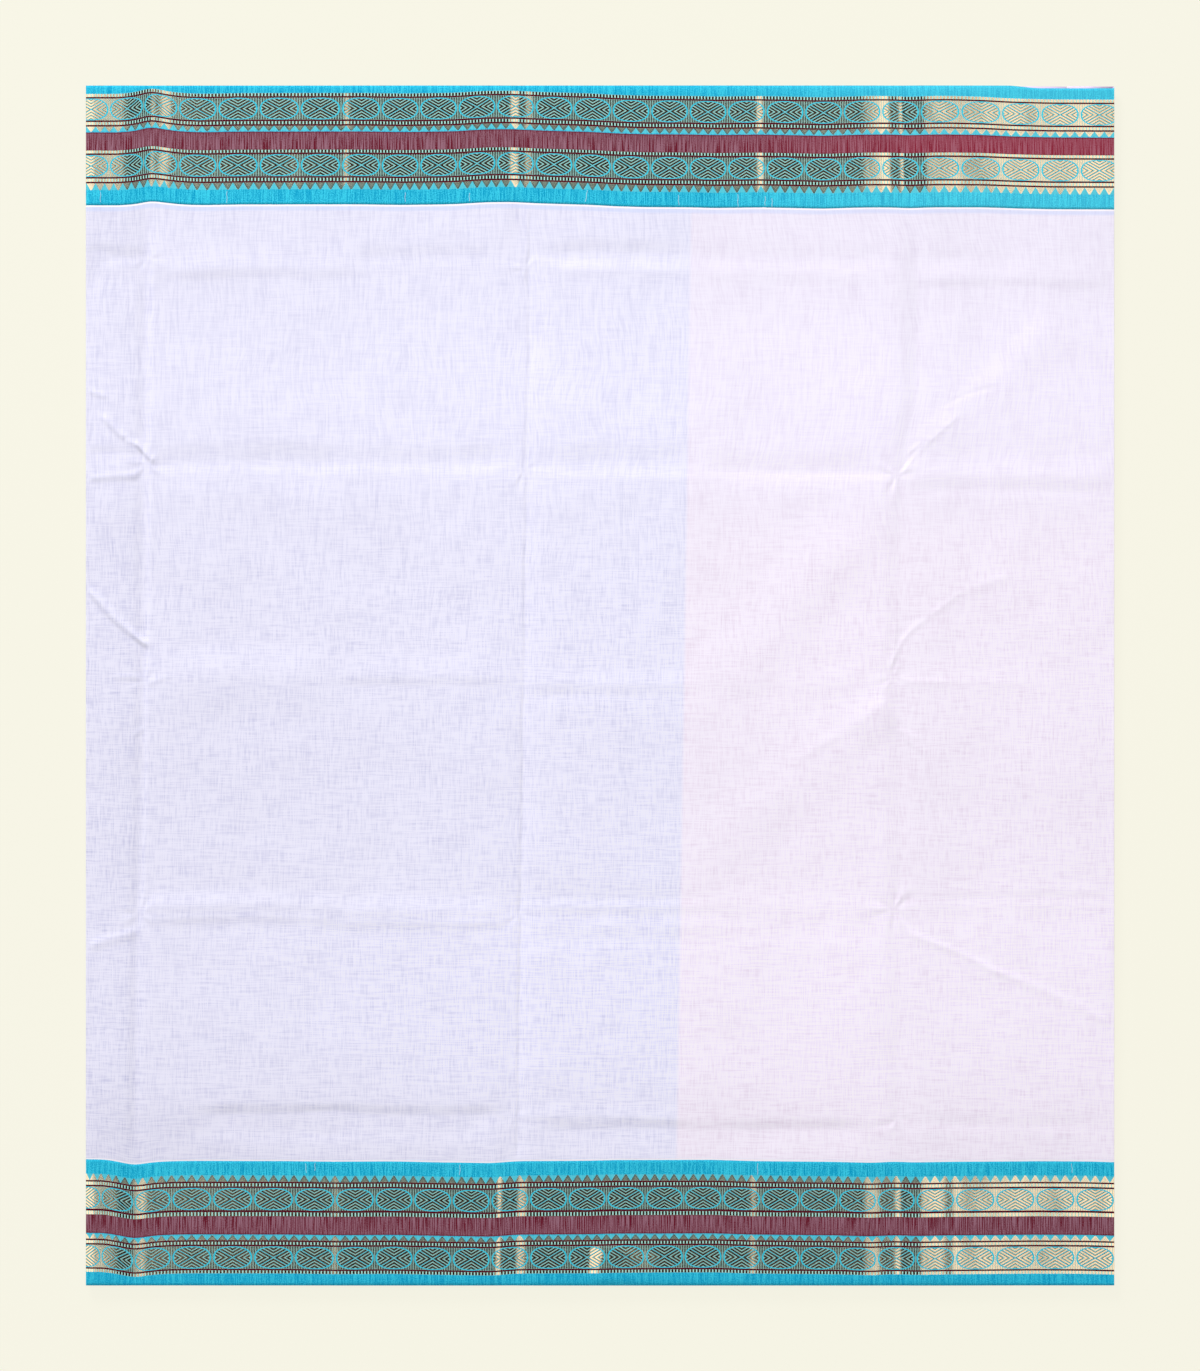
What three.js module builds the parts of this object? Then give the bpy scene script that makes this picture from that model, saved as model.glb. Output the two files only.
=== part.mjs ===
// A sheer saree with patterned borders, folded to six layers and laid flat.
// Millimetres, +Z up. +X runs along the cloth's length and +Y across it, to the far selvedge.
// The origin is on the surface that the saree lies on, under the middle of its box.

import * as THREE from "three";

// Size of the folded cloth, fold to fold and selvedge to selvedge
const LENGTH = 993;
const WIDTH = 1158;

// Depth of the two woven borders, and the gap between a border's solid and the field's
const FAR_BORDER = 115;
const NEAR_BORDER = 119;
const SEAM = 0.3;

// Layers of cloth, counted from the top, each a wall with air over it
const LAYERS = 6;
const WALL = 1.2;
const AIR = 0.3;

// Folds: 1 joins 2 at the right, 1 joins 4 at the left round 2 and 3, 3 joins 6 at the right round 4 and 5
const TURNED_IN = 45;
const TURN_CLEARANCE = 1;
const LOWER_FOLD_INSET = 1.5;
const CUT_END_INSETS = { fifth: 6, sixth: 3 };
const LOWER_SELVEDGE_INSET = 1;
const FOLD_STEPS = 6;

// The top layer stands a little proud of the stack between its creases, and lies down at its edges
const PUFF = 1.7;
const FOLD_TAPER = 26;
const SELVEDGE_TAPER = 30;

// Near the right end the top layer's far selvedge draws back and bares the layer under it
const SELVEDGE_DRAW = { start: 400, end: 450, depth: 2 };

// Pressed valleys that run across the cloth: x at the far and the near selvedge, reach of each flank
const VALLEYS = [
  { far: -435, near: -450, depth: 1.5, leftReach: 22, rightReach: 30 },
  { far: -71, near: -84, depth: 1.2, leftReach: 26, rightReach: 26 },
  { far: 291, near: 286, depth: 1.6, leftReach: 34, rightReach: 40 },
];

// Ridges that run along the cloth between the valleys: y, height, reach of the near and the far flank
const RIDGES = [
  { y: 402, height: 0.9, nearReach: 26, farReach: 30 },
  { y: 203, height: 2.4, nearReach: 24, farReach: 34 },
  { y: 4, height: 1.8, nearReach: 30, farReach: 38 },
  { y: -212, height: 2.6, nearReach: 26, farReach: 30 },
  { y: -414, height: 1.0, nearReach: 22, farReach: 26 },
];
const PINCH_REACH = 70;

// Slanting folds that the shelf folds pulled into the cloth, from one end to the other
const SLANTS = [
  { fromX: 288, fromY: 209, toX: 451, toY: 366, height: 2.2, reach: 34 },
  { fromX: 283, fromY: 190, toX: 65, toY: -45, height: 1.4, reach: 46 },
  { fromX: 283, fromY: -8, toX: 77, toY: -180, height: 1.3, reach: 44 },
  { fromX: 293, fromY: 40, toX: 400, toY: 108, height: 1.3, reach: 26 },
  { fromX: 293, fromY: -236, toX: 490, toY: -325, height: 1.1, reach: 26 },
  { fromX: -493, fromY: -258, toX: -440, toY: -235, height: 0.9, reach: 20 },
];
const SLANT_TAPER = 60;

// Grid of the top layer: steps beside each crease, and the widest steps between
const CREASE_STEPS = [10, 26];
const OPEN_STEP = 62;
const BORDER_STEPS = 3;

// Edge of a hidden layer: its selvedges are rounded, and don't quite line up
const HIDDEN_LAYERS = [
  { layer: 5, farInset: 1.4, nearInset: 0.5 },
  { layer: 4, farInset: 0.7, nearInset: 1.5 },
  { layer: 3, farInset: 1.8, nearInset: 0.9 },
  { layer: 2, farInset: 0.3, nearInset: 1.2 },
];
const EDGE_PROFILE = [
  { rise: 0, tuck: 0.5 },
  { rise: 0.35, tuck: 0 },
  { rise: 0.85, tuck: 0 },
  { rise: WALL, tuck: 0.5 },
];
const GROOVE_DEPTH = 3;
const GROOVE_SLOPE = 0.02;
const WANDER = { height: 0.3, waves: 2.5, steps: 10 };

const HALF_LENGTH = LENGTH / 2;
const HALF_WIDTH = WIDTH / 2;
const FAR_SEAM = HALF_WIDTH - FAR_BORDER;
const NEAR_SEAM = NEAR_BORDER - HALF_WIDTH;

const { clamp, degToRad, lerp, smoothstep } = THREE.MathUtils;
const steps = (count) => Array.from({ length: count + 1 }, (_, k) => k / count);

// Height of a layer's underside
const layerBase = (layer) => (LAYERS - layer) * (WALL + AIR);

// Middle height and outer radius of the fold that joins two layers
function foldBetween(upper, lower) {
  const top = layerBase(upper) + WALL;
  return { z: (top + layerBase(lower)) / 2, radius: (top - layerBase(lower)) / 2 };
}

const LEFT_FOLD = { ...foldBetween(1, 4), hidden: foldBetween(2, 3) };
LEFT_FOLD.x = LEFT_FOLD.radius - HALF_LENGTH;
const RIGHT_FOLD = foldBetween(1, 2);
RIGHT_FOLD.x = HALF_LENGTH - RIGHT_FOLD.radius;
const LOWER_FOLD = { ...foldBetween(3, 6), hidden: foldBetween(4, 5) };
LOWER_FOLD.x = HALF_LENGTH - LOWER_FOLD_INSET - LOWER_FOLD.radius;

// A flank that falls from 1 at the crease to 0 at its reach, steepest at the crease
function flank(distance, reachBefore, reachAfter) {
  const share = Math.min(1, Math.abs(distance) / (distance < 0 ? reachBefore : reachAfter));
  return (1 - share) ** 2;
}

const valleyX = (valley, y) => lerp(valley.near, valley.far, (y + HALF_WIDTH) / WIDTH);

function slantHeight(slant, x, y) {
  const alongX = slant.toX - slant.fromX;
  const alongY = slant.toY - slant.fromY;
  const length = Math.hypot(alongX, alongY);
  const along = ((x - slant.fromX) * alongX + (y - slant.fromY) * alongY) / length;
  const aside = ((x - slant.fromX) * alongY - (y - slant.fromY) * alongX) / length;
  const ends = smoothstep(Math.min(along, length - along), -SLANT_TAPER / 3, SLANT_TAPER);
  return slant.height * ends * flank(aside, slant.reach, slant.reach);
}

// Height of the top layer over the stack: puff, less the valleys, plus the ridges and slants
function relief(x, y) {
  let valleys = 0;
  let nearest = Infinity;
  for (const valley of VALLEYS) {
    const distance = x - valleyX(valley, y);
    valleys += valley.depth * flank(distance, valley.leftReach, valley.rightReach);
    nearest = Math.min(nearest, Math.abs(distance));
  }
  const pinch = smoothstep(nearest, 0, PINCH_REACH);
  let ridges = 0;
  for (const ridge of RIDGES) {
    ridges += ridge.height * pinch * flank(y - ridge.y, ridge.nearReach, ridge.farReach);
  }
  for (const slant of SLANTS) {
    ridges += slantHeight(slant, x, y) * pinch;
  }
  const fromFold = Math.min(x - LEFT_FOLD.x, RIGHT_FOLD.x - x);
  const fromSelvedge = HALF_WIDTH - Math.abs(y);
  const taper = smoothstep(fromFold, 0, FOLD_TAPER) * smoothstep(fromSelvedge, 0, SELVEDGE_TAPER);
  return Math.max(0, PUFF - valleys + ridges) * taper;
}

// Places between two creases: close steps beside each, then even ones no wider than OPEN_STEP
function betweenCreases(start, end) {
  const close = CREASE_STEPS.filter((step) => step < (end - start) / 3);
  const first = start + (close.at(-1) ?? 0);
  const last = end - (close.at(-1) ?? 0);
  const open = steps(Math.ceil((last - first) / OPEN_STEP)).map((share) => lerp(first, last, share));
  const inner = close.slice(0, -1);
  return [
    start,
    ...inner.map((step) => start + step),
    ...open.filter((place) => place > start && place < end),
    ...inner.map((step) => end - step).reverse(),
  ];
}

// The number of places must be the same at every y, so they are chosen on the middle line and carried along
const MIDDLE_CREASES = [LEFT_FOLD.x, ...VALLEYS.map((valley) => valleyX(valley, 0)), RIGHT_FOLD.x];
const COLUMNS = MIDDLE_CREASES.slice(0, -1).flatMap((start, panel) => {
  const end = MIDDLE_CREASES[panel + 1];
  return betweenCreases(start, end).map((place) => ({ panel, share: (place - start) / (end - start) }));
}).slice(1);

function columnX(column, y) {
  const creases = [LEFT_FOLD.x, ...VALLEYS.map((valley) => valleyX(valley, y)), RIGHT_FOLD.x];
  return lerp(creases[column.panel], creases[column.panel + 1], column.share);
}

// Half a turn of cloth round a fold, from one angle to another, as pairs of outer and inner points
function foldArc(fold, fromAngle, toAngle) {
  return steps(FOLD_STEPS).map((share) => {
    const angle = degToRad(lerp(fromAngle, toAngle, share));
    const point = (radius) => [fold.x + radius * Math.cos(angle), fold.z + radius * Math.sin(angle)];
    return { outer: point(fold.radius), inner: point(fold.radius - WALL) };
  });
}

// Section of the top stretch: turned in at layer 4, round the left fold, along the top, in at layer 2
function topSection(y) {
  const run = COLUMNS.map((column) => {
    const x = columnX(column, y);
    const base = layerBase(1) + relief(x, y);
    return { outer: [x, base + WALL], inner: [x, base] };
  });
  const leftEnd = TURNED_IN - HALF_LENGTH;
  const rightEnd = HALF_LENGTH - TURNED_IN;
  return [
    { outer: [leftEnd, layerBase(4)], inner: [leftEnd, layerBase(4) + WALL] },
    ...foldArc(LEFT_FOLD, 270, 90),
    ...run,
    ...foldArc(RIGHT_FOLD, 90, -90),
    { outer: [rightEnd, layerBase(2)], inner: [rightEnd, layerBase(2) + WALL] },
  ];
}

// Section of the bottom stretch: in at layer 3, round the lower fold, along the surface to the cut end
function bottomSection() {
  const turnedEnd = HALF_LENGTH - TURNED_IN;
  const cutEnd = CUT_END_INSETS.sixth - HALF_LENGTH;
  return [
    { outer: [turnedEnd, layerBase(3) + WALL], inner: [turnedEnd, layerBase(3)] },
    ...foldArc(LOWER_FOLD, 90, -90),
    { outer: [cutEnd, layerBase(6)], inner: [cutEnd, layerBase(6) + WALL] },
  ];
}

// Far selvedge of the top layer
const farSelvedge = (x) =>
  HALF_WIDTH - SELVEDGE_DRAW.depth * smoothstep(x, SELVEDGE_DRAW.start, SELVEDGE_DRAW.end);

// Closed wall between a grid of outer points and a grid of inner points, both as rows of columns
function wallGeometry(outer, inner) {
  const rows = outer.length;
  const columns = outer[0].length;
  const at = (side, row, column) => (side * rows + row) * columns + column;
  const index = [];
  const quad = (a, b, c, d) => index.push(a, b, c, a, c, d);
  for (let row = 0; row < rows - 1; row++) {
    for (let column = 0; column < columns - 1; column++) {
      quad(at(0, row, column), at(0, row, column + 1), at(0, row + 1, column + 1), at(0, row + 1, column));
      quad(at(1, row, column), at(1, row + 1, column), at(1, row + 1, column + 1), at(1, row, column + 1));
    }
    const last = columns - 1;
    quad(at(0, row, 0), at(0, row + 1, 0), at(1, row + 1, 0), at(1, row, 0));
    quad(at(0, row, last), at(1, row, last), at(1, row + 1, last), at(0, row + 1, last));
  }
  for (let column = 0; column < columns - 1; column++) {
    const last = rows - 1;
    quad(at(0, 0, column), at(1, 0, column), at(1, 0, column + 1), at(0, 0, column + 1));
    quad(at(0, last, column), at(0, last, column + 1), at(1, last, column + 1), at(1, last, column));
  }
  return indexedGeometry([...outer.flat(), ...inner.flat()], index);
}

function indexedGeometry(points, index) {
  const geometry = new THREE.BufferGeometry();
  geometry.setAttribute("position", new THREE.Float32BufferAttribute(points.flat(), 3));
  geometry.setIndex(index);
  geometry.computeVertexNormals();
  return geometry;
}

// A stretch of cloth: its section carried through the rows, where rowY gives a row's y at each x
function stretchGeometry(section, rowPlaces, rowY) {
  const outer = [];
  const inner = [];
  for (const place of rowPlaces) {
    const stations = section(place);
    outer.push(stations.map(({ outer: [x, z] }) => [x, rowY(place, x), z]));
    inner.push(stations.map(({ inner: [x, z] }) => [x, rowY(place, x), z]));
  }
  return wallGeometry(outer, inner);
}

// Hidden layers 5 to 2 as one stack of rings, with a groove between layers at each selvedge
function hiddenGeometry() {
  const turnedLeft = TURNED_IN + TURN_CLEARANCE - HALF_LENGTH;
  const turnedRight = HALF_LENGTH - TURNED_IN - TURN_CLEARANCE;
  const bulge = (fold, z) => Math.sqrt(Math.max(0, fold.radius ** 2 - (z - fold.z) ** 2));
  const leftEdge = (z) => {
    if (z < layerBase(5) + WALL + GROOVE_SLOPE / 2) {
      return CUT_END_INSETS.fifth - HALF_LENGTH;
    }
    return z < layerBase(3) - GROOVE_SLOPE / 2 ? turnedLeft : LEFT_FOLD.x - bulge(LEFT_FOLD.hidden, z);
  };
  const rightEdge = (z) =>
    z < layerBase(4) + WALL + GROOVE_SLOPE / 2 ? LOWER_FOLD.x + bulge(LOWER_FOLD.hidden, z) : turnedRight;

  const rings = HIDDEN_LAYERS.flatMap(({ layer, farInset, nearInset }) => {
    const base = layerBase(layer);
    const ring = (z, tuck) => ({ z, far: HALF_WIDTH - farInset - tuck, near: nearInset + tuck - HALF_WIDTH, layer });
    const edge = EDGE_PROFILE.map(({ rise, tuck }) => ring(base + rise, tuck));
    const groove = [
      ring(base + WALL + GROOVE_SLOPE, GROOVE_DEPTH),
      ring(base + WALL + AIR - GROOVE_SLOPE, GROOVE_DEPTH),
    ];
    return layer === HIDDEN_LAYERS.at(-1).layer ? edge : [...edge, ...groove];
  });
  const shares = steps(WANDER.steps);
  const points = rings.flatMap(({ z, far, near, layer }) => {
    const wander = (share) => WANDER.height * Math.sin(WANDER.waves * share * 2 * Math.PI + layer);
    const x = (share) => lerp(leftEdge(z), rightEdge(z), share);
    const farSide = shares.map((share) => [x(share), far - WANDER.height + wander(share), z]);
    const nearSide = shares.map((share) => [x(share), near + WANDER.height + wander(share), z]);
    return [...farSide, ...nearSide.reverse()];
  });

  const around = 2 * shares.length;
  const index = [];
  const quad = (a, b, c, d) => index.push(a, b, c, a, c, d);
  for (let ring = 0; ring < rings.length - 1; ring++) {
    for (let k = 0; k < around; k++) {
      const next = (k + 1) % around;
      quad(ring * around + k, (ring + 1) * around + k, (ring + 1) * around + next, ring * around + next);
    }
  }
  const top = (rings.length - 1) * around;
  for (let k = 0; k < shares.length - 1; k++) {
    const opposite = around - 1 - k;
    quad(k, k + 1, opposite - 1, opposite);
    quad(top + opposite, top + opposite - 1, top + k + 1, top + k);
  }
  return indexedGeometry(points, index);
}

const CLOTH = {
  field: { color: 0xebe8f7, roughness: 0.75, metalness: 0 },
  border: { color: 0x2f8fae, roughness: 0.55, metalness: 0.2 },
  layers: { color: 0xcfdcf2, roughness: 0.75, metalness: 0 },
};

function namedMesh(name, geometry, cloth) {
  const mesh = new THREE.Mesh(geometry, new THREE.MeshStandardMaterial(cloth));
  mesh.name = name;
  return mesh;
}

// Rows of the field: from seam to seam, close beside each ridge
const fieldEnds = [NEAR_SEAM + SEAM / 2, FAR_SEAM - SEAM / 2];
const ridgeLines = RIDGES.map((ridge) => ridge.y).sort((a, b) => a - b);
const fieldLines = [fieldEnds[0], ...ridgeLines, fieldEnds[1]];
const fieldRows = [
  ...fieldLines.slice(0, -1).flatMap((line, k) => betweenCreases(line, fieldLines[k + 1])),
  fieldEnds[1],
];
const evenRows = (start, end, count) => steps(count).map((share) => lerp(start, end, share));

// On the far border a row's y follows the drawn-back selvedge in proportion
function farBorderY(place, x) {
  const seam = FAR_SEAM + SEAM / 2;
  return lerp(seam, farSelvedge(x), clamp((place - seam) / (HALF_WIDTH - seam), 0, 1));
}

const straight = (place) => place;

const stretches = [
  { name: "top_field", section: topSection, rows: fieldRows, rowY: straight, cloth: CLOTH.field },
  {
    name: "far_border",
    section: topSection,
    rows: evenRows(FAR_SEAM + SEAM / 2, HALF_WIDTH, BORDER_STEPS),
    rowY: farBorderY,
    cloth: CLOTH.border,
  },
  {
    name: "near_border",
    section: topSection,
    rows: evenRows(-HALF_WIDTH, NEAR_SEAM - SEAM / 2, BORDER_STEPS),
    rowY: straight,
    cloth: CLOTH.border,
  },
  {
    name: "bottom_stretch",
    section: bottomSection,
    rows: [LOWER_SELVEDGE_INSET - HALF_WIDTH, HALF_WIDTH - LOWER_SELVEDGE_INSET],
    rowY: straight,
    cloth: CLOTH.field,
  },
];

const saree = new THREE.Group();
for (const { name, section, rows, rowY, cloth } of stretches) {
  saree.add(namedMesh(name, stretchGeometry(section, rows, rowY), cloth));
}
saree.add(namedMesh("hidden_layers", hiddenGeometry(), CLOTH.layers));

export default saree;
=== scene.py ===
import math

import bpy
import numpy as np
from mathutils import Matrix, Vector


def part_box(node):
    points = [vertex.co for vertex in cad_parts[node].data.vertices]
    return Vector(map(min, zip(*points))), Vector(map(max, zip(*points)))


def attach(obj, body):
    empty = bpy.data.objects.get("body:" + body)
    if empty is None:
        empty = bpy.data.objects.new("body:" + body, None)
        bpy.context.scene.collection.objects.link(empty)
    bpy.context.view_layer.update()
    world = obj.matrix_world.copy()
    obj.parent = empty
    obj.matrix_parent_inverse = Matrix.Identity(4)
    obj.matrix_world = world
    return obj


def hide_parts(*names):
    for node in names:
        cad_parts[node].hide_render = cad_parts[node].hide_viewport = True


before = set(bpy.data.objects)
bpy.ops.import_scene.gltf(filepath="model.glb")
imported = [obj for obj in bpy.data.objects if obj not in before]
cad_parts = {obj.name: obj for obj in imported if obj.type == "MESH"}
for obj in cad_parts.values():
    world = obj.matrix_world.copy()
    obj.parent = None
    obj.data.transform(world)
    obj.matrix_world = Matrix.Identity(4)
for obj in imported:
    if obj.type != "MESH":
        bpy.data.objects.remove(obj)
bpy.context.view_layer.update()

# A sheer saree folded to six layers and laid flat, seen from straight above.
# Metres in the row's frame: +X along the cloth, +Y across it to the far selvedge, +Z up.

MM = 0.001

# The picture's height in pixels, the size of a pixel on the cloth, and the camera's distance
PICTURE_HEIGHT = 1371
PIXEL = 0.966 * MM
CAMERA_HEIGHT = 3.0

# Half sizes of the cloth and its seams with the borders, from the solids
HALF_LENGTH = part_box("top_field")[1].x
HALF_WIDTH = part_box("far_border")[1].y
FAR_SEAM = (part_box("top_field")[1].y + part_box("far_border")[0].y) / 2
NEAR_SEAM = (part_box("top_field")[0].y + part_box("near_border")[1].y) / 2

# The layers: the space of each with the air over it, and the thickness drawn for the cloth
LAYERS = 6
WALL = 1.2 * MM
PITCH = WALL + 0.3 * MM
CLOTH = 0.5 * MM
# How far the ends are turned in under the folds, and where the lower layers stop short
TURNED_IN = 45 * MM
TURN_CLEARANCE = 1 * MM
LOWER_FOLD_INSET = 1.5 * MM
FIFTH_CUT_INSET = 6 * MM
SIXTH_CUT_INSET = 3 * MM
BOTTOM_INSET = 1 * MM
# How far in from the near and the far selvedge the joined pairs of layers stop
UPPER_PAIR_INSETS = (1.2 * MM, 0.4 * MM)
LOWER_PAIR_INSETS = (0.9 * MM, 1.5 * MM)
# The top layer thins out toward its selvedges, and the far one draws back near the right end
SELVEDGE_TAPER = 5 * MM
SELVEDGE_DRAW = {"start": 392 * MM, "end": 426 * MM, "depth": 2.6 * MM}
TURNED_SELVEDGE_INSET = 0.4 * MM
# Sections round a fold, how narrow a pressed fold is for its height, and how fast a grid thins out
FOLD_STEPS = 12
PRESSED = 0.22
STEP_GROWTH = 0.2

# Pressed valleys across the cloth, as (y, x) in millimetres from the far selvedge to the near one
VALLEYS = [
    [(579, -434), (421, -437.5), (155, -441), (54, -440.5), (-110, -442.5), (-249, -447), (-579, -450)],
    [(579, -71), (83, -75), (-361, -79), (-579, -84)],
    [(579, 290), (464, 293), (430, 304), (373, 305), (286, 304), (199, 287), (-217, 287), (-579, 286)],
]

# Height of the top layer over the stack along the far border, the field's middle and the near
# border, as (x, height) in millimetres
FAR_HEIGHTS = [
    (-497, 0), (-492, 0.95), (-475, 1.17), (-458, 1.45), (-452, 1.4), (-434.5, 0.1), (-431, 0.25),
    (-424, 0.3), (-414, 0.58), (-300, 0.9), (-288, 1.15), (-247, 1.15), (-241, 1.55), (-100, 1.8),
    (-88, 1.8), (-77, 0.65), (-74.5, 0.6), (-63.5, 1.45), (-48, 1.6), (60, 2.0), (150, 1.9),
    (157, 1.4), (240, 1.95), (252, 2.05), (262, 1.8), (270, 1.53), (278, 1.1), (288.5, 1.15),
    (292, 0.85), (307, 2.5), (311, 2.6), (320, 2.4), (335, 2.03), (345, 1.8), (410, 0.72),
    (480, 0.1), (497, 0),
]
FIELD_HEIGHTS = [
    (-497, 0), (-474, 1.4), (-458, 1.8), (-449.5, 1.8), (-442, 0.3), (-440, 0.3), (-434, 1.3),
    (-426, 1.6), (-380, 1.7), (-150, 1.8), (-100, 1.7), (-79, 1.0), (-74.5, 0.7), (-69, 1.1),
    (-52, 1.7), (100, 1.9), (240, 2.0), (275, 1.8), (284, 1.1), (289, 0.7), (297, 1.3), (308, 1.9),
    (330, 2.3), (410, 1.6), (480, 0.5), (497, 0),
]
NEAR_HEIGHTS = [
    (-497, 0), (-492, 0.85), (-481, 1.0), (-470, 1.11), (-464, 1.12), (-453, 0.2), (-446, 0.3),
    (-438.5, 0.48), (-431, 0.5), (-260, 1.15), (-252, 1.51), (-106, 1.8), (-102.5, 1.8), (-96, 1.05),
    (-91, 0.95), (-84, 0.65), (-71.5, 1.72), (-60, 1.9), (60, 1.9), (143, 1.9), (151, 1.49), (225, 1.9),
    (254, 2.1), (270, 1.62), (284, 1.62), (292, 1.3), (303, 2.35), (307, 2.6), (330, 1.95), (334, 1.85),
    (339, 1.92), (346, 1.7), (410, 0.6), (480, 0.05), (497, 0),
]
HEIGHT_BLEND = 60 * MM
# Folds fade out at the ends of the cloth, and are low in the stiff borders
END_TAPER = 7 * MM
STIFFENING = 20 * MM

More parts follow.
